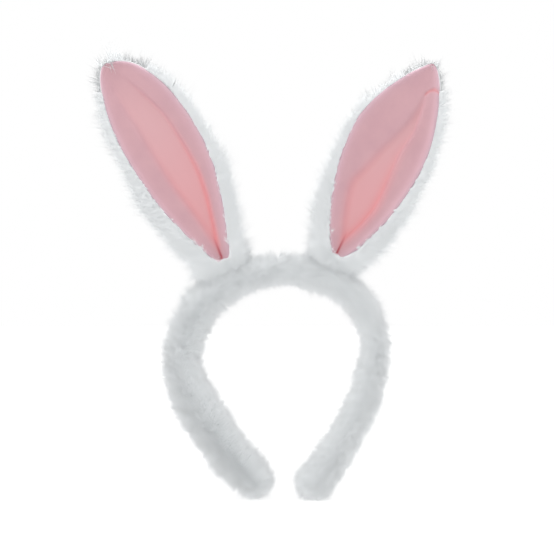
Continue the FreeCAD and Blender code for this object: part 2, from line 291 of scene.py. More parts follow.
def thread_piece(name, lines, radius, look, sides=3):
    """Threads or wires as round tubes along lists of points."""
    curve = bpy.data.curves.new(name, "CURVE")
    curve.dimensions = "3D"
    curve.bevel_depth = radius
    curve.bevel_resolution = sides
    curve.use_fill_caps = True
    for points in lines:
        spline = curve.splines.new("NURBS")
        spline.points.add(len(points) - 1)
        for target, source in zip(spline.points, points):
            target.co = (*source, 1)
        spline.order_u = 4
        spline.use_endpoint_u = True
        spline.resolution_u = 3
    holder = bpy.data.objects.new(name, curve)
    mesh = bpy.data.meshes.new_from_object(holder)
    bpy.data.objects.remove(holder)
    bpy.data.curves.remove(curve)
    mesh.name = name
    mesh.materials.clear()
    return smooth_piece(name, mesh, look)


# ------------------------------------------------------------------ materials
def material(name):
    mat = bpy.data.materials.new(name)
    mat.use_nodes = True
    return mat, mat.node_tree.nodes, mat.node_tree.links, mat.node_tree.nodes["Principled BSDF"]


def node(nodes, kind, **values):
    made = nodes.new(kind)
    for key, value in values.items():
        if hasattr(made, key):
            setattr(made, key, value)
        else:
            made.inputs[key.replace("_", " ")].default_value = value
    return made


def mix_colour(nodes, links, factor, first, second):
    mix = nodes.new("ShaderNodeMix")
    mix.data_type = "RGBA"
    for value, socket in ((factor, mix.inputs[0]), (first, mix.inputs[6]), (second, mix.inputs[7])):
        if hasattr(value, "links"):
            links.new(value, socket)
        else:
            socket.default_value = value if isinstance(value, float) else (*value, 1)
    return mix.outputs[2]


def effect_group(name, inputs, outputs, build):
    """A shader node group with named sockets."""
    tree = bpy.data.node_groups.new(name, "ShaderNodeTree")
    for label, kind, value in inputs:
        socket = tree.interface.new_socket(label, in_out="INPUT", socket_type=kind)
        if value is not None:
            socket.default_value = value
    for label, kind in outputs:
        tree.interface.new_socket(label, in_out="OUTPUT", socket_type=kind)
    build(tree.nodes, tree.links, tree.nodes.new("NodeGroupInput").outputs,
          tree.nodes.new("NodeGroupOutput").inputs)
    return tree


def build_patches(nodes, links, given, result):
    """Soft uneven patches, from 0 to 1."""
    noise = node(nodes, "ShaderNodeTexNoise", Detail=4.0, Roughness=0.6)
    links.new(given["Vector"], noise.inputs["Vector"])
    links.new(given["Scale"], noise.inputs["Scale"])
    spread = node(nodes, "ShaderNodeMapRange", From_Min=0.3, From_Max=0.7)
    links.new(noise.outputs["Fac"], spread.inputs["Value"])
    links.new(spread.outputs["Result"], result["Mask"])


def build_weave(nodes, links, given, result):
    """Crossed threads as a height, from a UV map."""
    waves = []
    for direction in ("X", "Y"):
        wave = node(nodes, "ShaderNodeTexWave", bands_direction=direction, Distortion=0.6,
                    Detail=1.0)
        links.new(given["Vector"], wave.inputs["Vector"])
        links.new(given["Threads"], wave.inputs["Scale"])
        waves.append(wave.outputs["Fac"])
    cross = node(nodes, "ShaderNodeMath", operation="MULTIPLY")
    links.new(waves[0], cross.inputs[0])
    links.new(waves[1], cross.inputs[1])
    links.new(cross.outputs[0], result["Height"])


PATCHES = effect_group(
    "soft patches", [("Vector", "NodeSocketVector", None), ("Scale", "NodeSocketFloat", 60.0)],
    [("Mask", "NodeSocketFloat")], build_patches)
WEAVE = effect_group(
    "thread weave", [("Vector", "NodeSocketVector", None), ("Threads", "NodeSocketFloat", 50.0)],
    [("Height", "NodeSocketFloat")], build_weave)


def place_group(nodes, links, tree, vector, **values):
    group = nodes.new("ShaderNodeGroup")
    group.node_tree = tree
    links.new(vector, group.inputs["Vector"])
    for key, value in values.items():
        group.inputs[key].default_value = value
    return group.outputs[0]


def bump(nodes, links, shader, height, strength, distance):
    made = node(nodes, "ShaderNodeBump", Strength=strength, Distance=distance)
    links.new(height, made.inputs["Height"])
    links.new(made.outputs["Normal"], shader.inputs["Normal"])


def object_point(nodes):
    return nodes.new("ShaderNodeTexCoord").outputs["Object"]


def white_pile():
    """Acrylic pile: each tuft a little darker at its root, painted shade deep in the pile, and each
    one its own tone.
    """
    mat, nodes, links, shader = material("white plush pile")
    where = nodes.new("ShaderNodeUVMap")
    where.uv_map = "OFBake"
    parts = nodes.new("ShaderNodeSeparateXYZ")
    links.new(where.outputs["UV"], parts.inputs[0])
    # painted shade: darker at each tuft's root, deep in the pile, lighter towards its tip
    painted_root_shade = nodes.new("ShaderNodeValToRGB")
    painted_root_shade.color_ramp.elements[0].color = (0.95, 0.965, 0.97, 1)
    painted_root_shade.color_ramp.elements[1].color = (0.975, 0.985, 0.99, 1)
    painted_root_shade.color_ramp.elements[1].position = 0.6
    links.new(parts.outputs["X"], painted_root_shade.inputs["Fac"])
    shade = node(nodes, "ShaderNodeMapRange", To_Min=0.0, To_Max=0.5)
    links.new(parts.outputs["Y"], shade.inputs["Value"])
    colour = mix_colour(nodes, links, shade.outputs["Result"], painted_root_shade.outputs["Color"],
                        (0.95, 0.965, 0.98))
    links.new(colour, shader.inputs["Base Color"])
    shader.inputs["Roughness"].default_value = 0.7
    # painted glow: the pile gives off a faint bluish white light of its own
    shader.inputs["Emission Color"].default_value = (0.92, 0.98, 1.0, 1)
    shader.inputs["Emission Strength"].default_value = PAINTED_PILE_GLOW
    shader.inputs["Specular IOR Level"].default_value = 0.2
    return mat


def knit_backing():
    mat, nodes, links, shader = material("knitted plush backing")
    point = object_point(nodes)
    patches = place_group(nodes, links, PATCHES, point, Scale=90.0)
    links.new(mix_colour(nodes, links, patches, (0.86, 0.87, 0.88), (0.93, 0.935, 0.94)),
              shader.inputs["Base Color"])
    shader.inputs["Roughness"].default_value = 0.9
    grain = node(nodes, "ShaderNodeTexNoise", Scale=1400.0, Detail=2.0)
    links.new(point, grain.inputs["Vector"])
    bump(nodes, links, shader, grain.outputs["Fac"], 0.5, 0.0004)
    return mat


def pink_lining():
    """Brushed pink cloth: mauve flanks, a paler strip of painted light, a painted rim sheen, salmon
    creases and a dark red pinch of painted shade.
    """
    mat, nodes, links, shader = material("pink lining cloth")
    point = object_point(nodes)
    strip, crease, pinch, rim = (
        node(nodes, "ShaderNodeAttribute", attribute_name=name).outputs["Fac"]
        for name in ("strip", "crease", "pinch", "rim"))
    patches = place_group(nodes, links, PATCHES, point, Scale=70.0)
    colour = mix_colour(nodes, links, patches, (0.610, 0.360, 0.400), (0.655, 0.390, 0.425))
    # painted light: the middle strip paler, as lit from the front
    colour = mix_colour(nodes, links, strip, colour, (0.730, 0.425, 0.450))
    # painted sheen: a lighter mauve along the rim
    colour = mix_colour(nodes, links, rim, colour, (0.740, 0.520, 0.600))
    # painted shade in the creases, salmon as from pink light bounced between the folds
    colour = mix_colour(nodes, links, crease, colour, (0.820, 0.310, 0.320))
    # painted shade: dark red in the tight pinch at the root
    links.new(mix_colour(nodes, links, pinch, colour, (0.480, 0.080, 0.100)),
              shader.inputs["Base Color"])
    shader.inputs["Roughness"].default_value = 0.7
    shader.inputs["Sheen Weight"].default_value = 0.2
    shader.inputs["Sheen Roughness"].default_value = 0.35
    shader.inputs["Sheen Tint"].default_value = (0.95, 0.85, 0.92, 1)
    shader.inputs["Specular IOR Level"].default_value = 0.3
    uv = nodes.new("ShaderNodeUVMap")
    uv.uv_map = "cloth"
    weave = place_group(nodes, links, WEAVE, uv.outputs["UV"], Threads=60.0)
    bump(nodes, links, shader, weave, 0.25, 0.0002)
    return mat


def plain(name, colour, darker, roughness, metallic=0.0, scale=200.0, depth=0.0001):
    """A plain material with soft uneven patches of colour and a fine grain."""
    mat, nodes, links, shader = material(name)
    point = object_point(nodes)
    patches = place_group(nodes, links, PATCHES, point, Scale=scale)
    links.new(mix_colour(nodes, links, patches, darker, colour), shader.inputs["Base Color"])
    shader.inputs["Roughness"].default_value = roughness
    shader.inputs["Metallic"].default_value = metallic
    grain = node(nodes, "ShaderNodeTexNoise", Scale=scale * 8, Detail=3.0)
    links.new(point, grain.inputs["Vector"])
    bump(nodes, links, shader, grain.outputs["Fac"], 0.4, depth)
    return mat


PILE = white_pile()
BACKING = knit_backing()
LINING = pink_lining()
WADDING = plain("polyester wadding", (0.92, 0.92, 0.90), (0.84, 0.84, 0.82), 0.95, depth=0.0006)
PINK_THREAD = plain("pink sewing thread", (0.80, 0.48, 0.53), (0.70, 0.40, 0.46), 0.6)
WHITE_THREAD = plain("white sewing thread", (0.92, 0.92, 0.92), (0.84, 0.84, 0.85), 0.6)
CORE = plain("moulded core plastic", (0.80, 0.80, 0.77), (0.74, 0.74, 0.71), 0.38)
WIRE = plain("annealed wire", (0.55, 0.55, 0.56), (0.42, 0.42, 0.43), 0.35, metallic=1.0)
TAPE = plain("cloth tape", (0.86, 0.86, 0.82), (0.78, 0.78, 0.74), 0.85)


# ------------------------------------------------------------------ pile
def spike(waist):
    """A thin three sided spike of unit height; with a waist it can curve."""
    bm = bmesh.new()
    bmesh.ops.create_cone(bm, cap_ends=True, segments=3, radius1=1.0, radius2=0.0, depth=1.0)
    bmesh.ops.translate(bm, verts=bm.verts, vec=(0, 0, 0.5))
    bmesh.ops.remove_doubles(bm, verts=bm.verts, dist=1e-5)
    if waist:
        bmesh.ops.bisect_plane(bm, geom=bm.verts[:] + bm.edges[:] + bm.faces[:],
                               plane_co=(0, 0, 0.5), plane_no=(0, 0, 1))
        middle = [v for v in bm.verts if 0.3 < v.co.z < 0.7]
        bmesh.ops.scale(bm, verts=middle, vec=(waist, waist, 1.0))
    bmesh.ops.recalc_face_normals(bm, faces=bm.faces)
    bm.verts.ensure_lookup_table()
    points = np.array([v.co[:] for v in bm.verts])
    faces = [[v.index for v in f.verts] for f in bm.faces]
    bm.free()
    return points, faces


TUFT = spike(1.5)
FIBRE = spike(None)


def unit(vectors):
    return vectors / np.maximum(np.linalg.norm(vectors, axis=-1, keepdims=True), 1e-9)


def scatter(skin, count, rng, keep):
    """Even random places on a skin, with its outward direction at each."""
    mesh = skin.data
    mesh.calc_loop_triangles()
    corners = np.empty(len(mesh.loop_triangles) * 3, np.int32)
    mesh.loop_triangles.foreach_get("vertices", corners)
    points = np.empty(len(mesh.vertices) * 3)
    mesh.vertices.foreach_get("co", points)
    normals = np.empty(len(mesh.vertices) * 3)
    mesh.vertices.foreach_get("normal", normals)
    corners = corners.reshape(-1, 3)
    points, normals = points.reshape(-1, 3), normals.reshape(-1, 3)
    a, b, c = (points[corners[:, i]] for i in range(3))
    middle = unit(sum(normals[corners[:, i]] for i in range(3)))
    size = np.linalg.norm(np.cross(b - a, c - a), axis=1) * keep((a + b + c) / 3, middle)
    chosen = np.sort(rng.choice(len(size), count, p=size / size.sum()))
    u, v = rng.random((2, count, 1))
    flip = u + v > 1
    u, v = np.where(flip, 1 - u, u), np.where(flip, 1 - v, v)
    share = (1 - u - v, u, v)
    root = sum(s * points[corners[chosen, i]] for i, s in enumerate(share))
    out = unit(sum(s * normals[corners[chosen, i]] for i, s in enumerate(share)))
    return root, out


def uneven(points, rng, waves=7):
    """A smooth field of about -1 to 1 over the object, with swells 12 to 30 mm long."""
    total = np.zeros(len(points))
    for _ in range(waves):
        way = unit(rng.normal(0, 1, 3)) * 2 * math.pi / (rng.uniform(12, 30) * MM)
        total += np.sin(points @ way + rng.uniform(0, 6.28))
    return total / math.sqrt(waves)


def clump_ends(root, end, rng, pull):
    """Draw the ends of neighbouring tufts together, each clump with a lean of its own."""
    count = len(root)
    leaders = rng.choice(count, max(8, count // CLUMP_TUFTS), replace=False)
    tree = KDTree(len(leaders))
    for i, k in enumerate(leaders):
        tree.insert(root[k], i)
    tree.balance()
    mine = leaders[[tree.find(p)[1] for p in root]]
    share = rng.uniform(*pull, count)[:, None]
    lean = rng.normal(0, CLUMP_LEAN * MM, (count, 3))
    end = end + lean[mine]
    return end + (end[mine] - end + (root - root[mine]) * 0.25) * share


def lay_spikes(shape, faces, root, out, nap, end, thick, lit, rng):
    """Every spike bent from its root over to its end: points, corners, face sizes, UV, normals."""
    count = len(root)
    side = unit(np.cross(out, unit(nap + rng.normal(0, 0.4, (count, 3)))))
    front = np.cross(out, side)
    height = shape[:, 2][None, :, None]
    rise = ((end - root) * out).sum(1, keepdims=True)
    knee = (root + out * rise * 0.55)[:, None, :]
    line = ((1 - height) ** 2 * root[:, None, :] + 2 * height * (1 - height) * knee
            + height ** 2 * end[:, None, :])
    ring = (shape[:, 0][None, :, None] * side[:, None, :]
            + shape[:, 1][None, :, None] * front[:, None, :])
    points = line + ring * thick[:, None, None]
    corner = np.concatenate([np.array(f) for f in faces])
    corners = (np.arange(count)[:, None] * len(shape) + corner[None]).ravel()
    sizes = np.tile([len(f) for f in faces], count)
    shade = np.repeat(0.02 + 0.96 * rng.random(count), len(corner))
    along = np.tile(shape[corner, 2], count) * 0.96 + 0.02
    # the pile is lit as one soft surface, not as single hard threads
    soft = unit(out * 1.3 + unit(end - root) * 0.2 + lit)
    normals = unit(soft[:, None, :] + 0.35 * unit(ring))
    uv = np.stack([along, shade], 1)
    return points.reshape(-1, 3), corners, sizes, uv, normals.reshape(-1, 3)


def grow_pile(name, skin, kind, length, lay, seed, keep, wild=0.16, lit=None):
    """Pile on a skin: full tufts, and thin fibres that stand out beyond them.

    lay(root, out) says which way the nap lies, and length(root) how long a tuft is.
    lit(root) says which way its shading turns.
    """
    rng = np.random.default_rng(seed)
    tufts, fibres = PILE_COUNTS[kind]
    batches = []
    for (shape, faces), count, grown, spread, pull, radius in (
            (TUFT, tufts, 0.92, 0.11, (0.1, 0.42), TUFT_RADIUS),
            (FIBRE, fibres, 1.16, 0.36, (0.0, 0.35), FIBRE_RADIUS)):
        count = int(count * DENSITY)
        root, out = scatter(skin, count, rng, keep)
        nap = lay(root, out)
        nap = nap - out * (nap * out).sum(1, keepdims=True)
        long = length(root) * rng.normal(grown, spread, count).clip(0.4, 1.7)
        long *= 1 + SWELL * uneven(root, np.random.default_rng(SWELL_SEED))
        end = root + unit(out + nap + rng.normal(0, wild, (count, 3))) * long[:, None]
        end = clump_ends(root, end, rng, pull)
        thick = radius * MM * rng.uniform(0.75, 1.25, count)
        batches.append(lay_spikes(shape, faces, root, out, nap, end, thick,
                                  lit(root) if lit else 0.0, rng))

    offsets = np.cumsum([0] + [len(b[0]) for b in batches])
    points = np.concatenate([b[0] for b in batches])
    corners = np.concatenate([b[1] + k for b, k in zip(batches, offsets)])
    sizes = np.concatenate([b[2] for b in batches])
    mesh = bpy.data.meshes.new(name)
    mesh.vertices.add(len(points))
    mesh.vertices.foreach_set("co", points.ravel())
    mesh.loops.add(len(corners))
    mesh.loops.foreach_set("vertex_index", corners.astype(np.int32))
    mesh.polygons.add(len(sizes))
    starts = np.concatenate([[0], np.cumsum(sizes)[:-1]])
    mesh.polygons.foreach_set("loop_start", starts.astype(np.int32))
    mesh.update(calc_edges=True)
    mesh.polygons.foreach_set("use_smooth", np.ones(len(sizes), bool))
    uv = mesh.uv_layers.new(name="OFBake")
    uv.data.foreach_set("uv", np.concatenate([b[3] for b in batches]).ravel())
    mesh.normals_split_custom_set_from_vertices(np.concatenate([b[4] for b in batches]))
    mesh.materials.append(PILE)
    piece = into_scene(name, mesh)
    return piece



# ------------------------------------------------------------------ the band
def band_place(line, shrink, tip_depth=TIP_DEPTH):
    """place(u, v) round the band's tube, with a rounded tip at v = 1."""
    slope = run_of(line)
    body = len(line) - 1
    dome = 8

    def place(u, v):
        turn = 2 * math.pi * u
        row = v * (body + dome)
        at = min(row, body)
        low = min(int(at), body - 1)
        part = at - low
        x, z, radius = line[low] * (1 - part) + line[low + 1] * part
        sx, sz = slope[low] * (1 - part) + slope[low + 1] * part
        radius -= shrink * MM
        if row > body:
            angle = (row - body) / dome * math.pi / 2
            x, z = (c + s * tip_depth * MM * math.sin(angle) for c, s in ((x, sx), (z, sz)))
            radius *= max(math.cos(angle), 0.0)
        out = Vector((-sz, 0, sx))
        centre = Vector((x, 0, z))
        return centre + (out * math.cos(turn) + Vector((0, 1, 0)) * math.sin(turn)) * radius

    return place, body + dome


def arm_bend(piece, side):
    """The piece's place is baked into its mesh."""
    pivot = Vector(joint(side + "_arm_flex")["pos_m"])
    line = band_line(side, 200)
    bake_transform(piece)


def band_half(side, seed):
    """Wadding, knitted sleeve, closing seam, gathered tip and pile of one half of the band."""
    line = band_line(side, BAND_ROWS)
    place, rows = band_place(line, PILE_HEIGHT)
    sleeve = new_piece(side + "_band_sleeve", surface(40, rows, place), BACKING)
    skin = sleeve.data.copy()
    solidify(sleeve, BACKING_THICK * MM)
    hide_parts("sleeve_crown", "sleeve_%s_arm" % side)
    arm_bend(sleeve, side)

    place, rows = band_place(line, PILE_HEIGHT + BACKING_THICK + 0.1, TIP_DEPTH - 1.0)
    bm = surface(24, rows, place)
    bmesh.ops.holes_fill(bm, edges=[e for e in bm.edges if e.is_boundary])
    wadding = new_piece(side + "_band_wadding", bm, WADDING)
    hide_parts("wadding_crown", "wadding_%s_arm" % side)
    arm_bend(wadding, side)

    band_seam(side, line)
    stitch = tip_gather(side, line)

    holder = bpy.data.objects.new("skin", skin)
    third = np.array_split(np.arange(len(line)), 3)
    for i, (rows_in, label) in enumerate(zip(third, ("crown", "shoulder", "arm"))):
        piece = band_pile(side, label, holder, line, rows_in, seed + i)
        arm_bend(piece, side)
    bpy.data.objects.remove(holder)


def nearest_row(line, points):
    """Which point of the band line lies nearest to each place."""
    across = points[:, None, 0] - line[None, :, 0]
    height = points[:, None, 2] - line[None, :, 1]
    return (across ** 2 + height ** 2).argmin(axis=1)


def band_pile(side, label, skin, line, rows_in, seed):
    """The pile of one stretch of the band, all napped one way, from the left tip to the right."""
    slope = run_of(line)
    onward = 1.0 if side == "right" else -1.0
    last = len(line) - 1

    def keep(points, out):
        row = nearest_row(line, points)
        return ((row >= rows_in[0]) & (row <= rows_in[-1])).astype(float)

    def lay(root, out):
        row = nearest_row(line, root)
        along = np.stack([slope[row, 0], np.zeros(len(row)), slope[row, 1]], 1) * onward
        strength = np.full(len(row), 0.5)
        if side == "left":
            strength = 0.3 * np.clip((last - row - 4) / 24.0, -0.8, 1.0)
        return along * strength[:, None]

    def length(root):
        return np.full(len(root), BAND_PILE * MM)

    def lit(root):
        row = nearest_row(line, root)
        outward = np.stack([-slope[row, 1], np.zeros(len(row)), slope[row, 0]], 1) * onward
        return outward * (ARM_GLOW * np.clip((row - ARM_ROW) / 20.0, 0.0, 1.0))[:, None]

    return grow_pile("%s_%s_pile" % (side, label), skin, "band", length, lay, seed, keep, lit=lit)


def band_seam(side, line):
    """A ladder of stitches that closes the sleeve along the side facing the head."""
    slope = run_of(line)
    rungs = []
    for i in range(1, len(line) - 1):
        inward = Vector((slope[i, 1], 0, -slope[i, 0])) * (1 if side == "right" else -1)
        centre = Vector((line[i, 0], 0, line[i, 1]))
        reach = line[i, 2] - (PILE_HEIGHT - 0.15) * MM
        swing = STITCH * MM * (1 if i % 2 else -1)
        rungs.append(centre + inward * reach + Vector((0, swing, 0)))
    seam = thread_piece(side + "_band_seam", [rungs], 0.22 * MM, WHITE_THREAD)
    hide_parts("seam_crown", "seam_%s_arm" % side)
    arm_bend(seam, side)


def tip_gather(side, line):
    """The drawn thread that closes the sleeve's tip: a puckered ring and its knot."""
    step = line[-1, :2] - line[-2, :2]
    along = Vector((step[0], 0, step[1])).normalized()
    outward = Vector((-along.z, 0, along.x))
    face = Vector((line[-1, 0], 0, line[-1, 1])) + along * (TIP_DEPTH - 0.1) * MM
    ring = []
    for i in range(24):
        turn = 2 * math.pi * i / 24
        radius = (2.0 + 0.5 * math.cos(6 * turn)) * MM
        way = outward * math.cos(turn) + Vector((0, 1, 0)) * math.sin(turn)
        ring.append(face + way * radius)
    knot = [face + outward * (0.7 * MM * math.cos(t)) + Vector((0, 0.7 * MM * math.sin(1.7 * t), 0))
            + along * (0.25 * MM * t / 3) for t in np.linspace(0, 9, 20)]
    stitch = thread_piece(side + "_tip_gather", [ring + ring[:1], knot], 0.25 * MM, WHITE_THREAD)
    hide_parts("tip_stitch_" + side)
    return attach(stitch, side + "_arm")


# ------------------------------------------------------------------ the ears
class Ear:
    """One ear's profiles, in millimetres in its own frame: across, depth and height."""

    def __init__(self, side):
        sizes = EARS[side]
        self.side = side
        self.length = sizes["length"]
        self.tip = sizes["tip"]
        self.cross = sizes["cross_crease"]
        parts = np.array(EDGE_PARTS)
        spine, rounding = self.spine(parts), np.sqrt(1 - parts)
        self.halves = [smooth_profile(parts, np.abs(np.array(sizes[k]) - spine) / rounding, 0.03)
                       for k in ("left_edge", "right_edge")]
        self.borders = [smooth_profile(BORDER_PARTS, sizes[k])
                        for k in ("left_border", "right_border")]
        self.creases = [smooth_profile(sizes["crease_at"], sizes[k], 0.04)
                        for k in ("left_crease", "right_crease")]

    def spine(self, part):
        """How far across the ear's middle line has leaned."""
        return self.tip * np.clip(part, 0, 1) ** LEAN_POWER

    def half(self, right, part):
        part = min(max(part, 0.0), 1.0)
        return float(self.halves[1 if right else 0](part)) * math.sqrt(1 - part)

    def border(self, right, part):
        return float(self.borders[1 if right else 0](part))

    def cup(self, across):
        """How far the hollow front comes forward away from the middle."""
        return CUP_RADIUS - math.sqrt(CUP_RADIUS ** 2 - across ** 2)

    def halves_at(self, across, height):
        """How far places lie from the ear's middle line, and the lining's half width there."""
        part = np.clip((height - LINING_START) / (self.length - LINING_START), 0.0, 1.0)
        away = across - self.spine(part)
        half = np.where(away > 0, self.halves[1](part), self.halves[0](part)) * np.sqrt(1 - part)
        return away, half

    def lining_point(self, u, v):
        """A point on the lining: its place, and how its painted light (strip, rim) and painted
        shade (crease, pinch) colour it.
        """
        part = max(1 - (1 - v) ** 2 * 0.9995 - 0.0005, 0.0)
        share = 2 * u - 1
        across = share * self.half(share > 0, part) + float(self.spine(part))
        height = LINING_START + part * (self.length - LINING_START)
        left, right = (float(crease(part)) for crease in self.creases)
        wide = max(self.half(True, part), 4.0)
        to_left, to_right = (share - left) * wide, (right - share) * wide
        fade = smooth_step(part, 0.02, 0.12) * (1 - smooth_step(part, 0.74, 0.97))
        # the middle strip lies back between two flanks that roll forwards over its edges
        strip = smooth_step(to_left, -1.5, 4.0) * smooth_step(to_right, -0.4, 1.4)
        roll = ROLL_RIGHT * bell(max(-to_right, 0), 6.0) * smooth_step(-to_right, -0.8, 1.5)
        roll += ROLL_LEFT * bell(max(-to_left, 0), 8.0) * smooth_step(-to_left, -2.0, 3.5)
        edge = (1 - abs(share)) * wide
        rim_roll = RIM_ROLL * bell(edge - 1.8, 2.0) - 0.5 * bell(edge, 0.5)
        ruffle = math.sin(part * 150 + 2 * share) * abs(share) ** 3
        ruffle *= 1 - smooth_step(part, 0.08, 0.34)
        across += RUFFLE * ruffle
        rim_roll += RUFFLE_DEPTH * ruffle
        depth = EAR_FRONT - self.cup(across) - 1.3 + (STRIP_DEPTH * strip - roll) * fade
        depth -= rim_roll + bell(part, 0.10) * abs(share)
        # the creases' painted shade, salmon as from light bounced between folds, is strongest low
        # down, where the cloth is gathered
        low = 1 - smooth_step(part, 0.25, 0.75)
        width, weight = (3.4, 0.42) if self.cross else (1.9, 0.66)
        crease = bell(to_right, width) * (0.04 + weight * low) + 0.3 * strip * low
        crease = (crease + 0.25 * bell(to_left, 3.0) * low) * fade
        # painted shade: dark red where the cloth is pinched tight at the root, about the strip's
        # middle
        middle = (left + right) / 2 if part > 0.02 else 0.0
        painted_pinch_shade = bell((share - middle) * wide, 0.9) * (1 - smooth_step(part, 0.03, 0.14))
        if self.cross:
            arch = 0.045 * (share - 0.36) + 0.018 * (1 - ((share - 0.67) / 0.31) ** 2)
            fold = bell(part - self.cross - arch, 0.008) * smooth_step(share, 0.28, 0.42)
            depth += 0.8 * fold
            # painted shade along the cross fold
            crease += 0.6 * fold
        # painted sheen along the rim, where the cloth turns over the edge
        rim = math.exp(-edge / 2.5)
        # colour masks: strip is painted light, rim a painted sheen, crease and pinch painted shade
        return (across, depth, height), (strip * fade, min(crease, 1.0), min(painted_pinch_shade, 1.0), rim)


def flop_bend(piece, side):
    """The piece's place is baked into its mesh."""
    pivot = Vector(joint(side + "_ear_flop")["pos_m"])
    pivot.y = 0
    reach = ear_frame(side)[3] * (EAR_BEND * MM)
    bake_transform(piece)


def ear_body(ear):
    """The plush back, turned forwards round the edge and gathered at the root."""
    top = ear.length + BACK_OVER

    def place(u, v):
        turn = 2 * math.pi * u
        part = 1 - (1 - v) ** 2
        height = BACK_START + part * (top - BACK_START)
        share = min(max((height - LINING_START) / (top - LINING_START), 0.0), 1.0)
        right = math.cos(turn) > 0
        half = ear.half(right, share) + ear.border(right, share) * math.sqrt(1 - share)
        if height < 14.0:
            half = max(half, 13.0 if right == (ear.side == "right") else 11.5)
        across = math.cos(turn) * half + float(ear.spine(share))
        base = math.exp(-(max(height, 0.0) / 24.0) ** 1.5)
        taper = math.sqrt(max(1 - part, 0.0)) ** 0.5
        behind = (4.6 + 5.0 * base) * taper
        ahead = 0.8 + 4.2 * bell(max(height, 0.0), 10.0) * smooth_step(height, -6.0, 4.0)
        covered = ear.half(right, share) / max(half, 0.1)
        hollow = 1 - smooth_step(abs(math.cos(turn)) / max(covered, 0.05), 0.75, 0.95)
        hollow *= smooth_step(height, 1.0, 8.0) * taper
        lift = math.sin(turn)
        depth = EAR_FRONT - ear.cup(across)
        if lift > 0:
            depth += behind * lift ** 0.6
        else:
            depth += ahead * lift * (1 - hollow) + 2.4 * hollow * min(-4 * lift, 1.0)
        if v < 1e-6:
            across, depth = across * 0.02, EAR_FRONT
            height = BACK_START - 1.0
        return in_ear(ear.side, across, depth, height)

    body = new_piece(ear.side + "_ear_back", surface(56, 96, place), BACKING)
    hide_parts(*["%s_ear_back_%s" % (ear.side, k) for k in ("lower", "upper")])
    return body


def ear_lining(ear):
    bm = bmesh.new()
    bmesh.ops.create_grid(bm, x_segments=72, y_segments=120, size=0.5, calc_uvs=True)
    uv = bm.loops.layers.uv.verify()
    masks = [bm.verts.layers.float.new(name) for name in ("strip", "crease", "pinch", "rim")]
    for face in bm.faces:
        for loop in face.loops:
            loop[uv].uv = (loop.vert.co.x + 0.5, (loop.vert.co.y + 0.5) * 2.4)
    for vert in bm.verts:
        place, amounts = ear.lining_point(vert.co.x + 0.5, vert.co.y + 0.5)
        for mask, amount in zip(masks, amounts):
            vert[mask] = amount
        vert.co = in_ear(ear.side, *place)
    bmesh.ops.remove_doubles(bm, verts=bm.verts, dist=WELD)
    bmesh.ops.recalc_face_normals(bm, faces=bm.faces)
    if sum(f.normal.y * f.calc_area() for f in bm.faces) > 0:
        bmesh.ops.reverse_faces(bm, faces=bm.faces)
    area = sum(f.calc_area() for f in bm.faces)
    lining = new_piece(ear.side + "_ear_lining", bm, LINING)
    lining.data.uv_layers[0].name = "cloth"
    solidify(lining, 0.5 * MM)
    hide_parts(*["%s_ear_lining_%s" % (ear.side, k) for k in ("lower", "upper")])
    return lining, area


def ear_edge(ear, outset, depth, start, count=90):
    """Points round the ear's edge from the root up its left side and down its right."""
    points = []
    for i in range(count + 1):
        turn = i / count
        right = turn > 0.5
        v = 2 * min(turn, 1 - turn)
        part = 1 - (1 - v) ** 2
        across = (ear.half(right, part) + outset * math.sqrt(max(1 - part, 0.0)))
        across = (across if right else -across) + float(ear.spine(part))
        height = start + part * (ear.length + outset - start)
        points.append(in_ear(ear.side, across, EAR_FRONT - ear.cup(across) + depth, height))
    return points


def ear_threads(ear):
    """The bendable wire, the edge seam, the pleat tack and the twisted stem."""
    side = ear.side
    wire = thread_piece(side + "_ear_edge_wire", [ear_edge(ear, 0.2, 0.8, LINING_START + 2)],
                        0.8 * MM, WIRE)
    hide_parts(*["%s_ear_wire_%s" % (side, k) for k in ("lower", "upper")])
    flop_bend(wire, side)

    edge = ear_edge(ear, 0.25, -0.1, LINING_START + 1, 420)
    stitches = [edge[i:i + 3] for i in range(6, len(edge) - 8, 4)]
    seam = thread_piece(side + "_ear_edge_seam", stitches, 0.16 * MM, PINK_THREAD, sides=1)
    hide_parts(*["%s_ear_seam_%s" % (side, k) for k in ("lower", "upper")])
    flop_bend(seam, side)

    tack = []
    for row in range(4):
        height = LINING_START + 1.0 + 0.7 * row
        tack.append([in_ear(side, x, EAR_FRONT - 1.9 - 0.5 * math.cos(x * 0.9), height + 0.15 * x)
                     for x in (-1.6, -0.8, 0.0, 0.8, 1.6)])
    bar = thread_piece(side + "_ear_tack", tack, 0.22 * MM, PINK_THREAD, sides=2)
    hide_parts(side + "_ear_pleat_tack")
    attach(bar, side + "_ear_lower")

    strands = []
    for phase in (0.0, math.pi):
        turns = [(phase + 1.3 * height, height) for height in np.linspace(0.5, 5.4, 14)]
        strands.append([in_ear(side, 0.75 * math.cos(turn), 0.75 * math.sin(turn), height)
                        for turn, height in turns])
    stem = thread_piece(side + "_twisted_stem", strands, 0.7 * MM, WIRE)
    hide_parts(side + "_ear_stem")
    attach(stem, side + "_ear_root")
    return wire


def sinking(height):
    """How much of its length the ear's pile keeps where its root sinks into the band's."""
    return np.clip(0.45 + (height + 6.0) / 14.0, 0.45, 1.0)


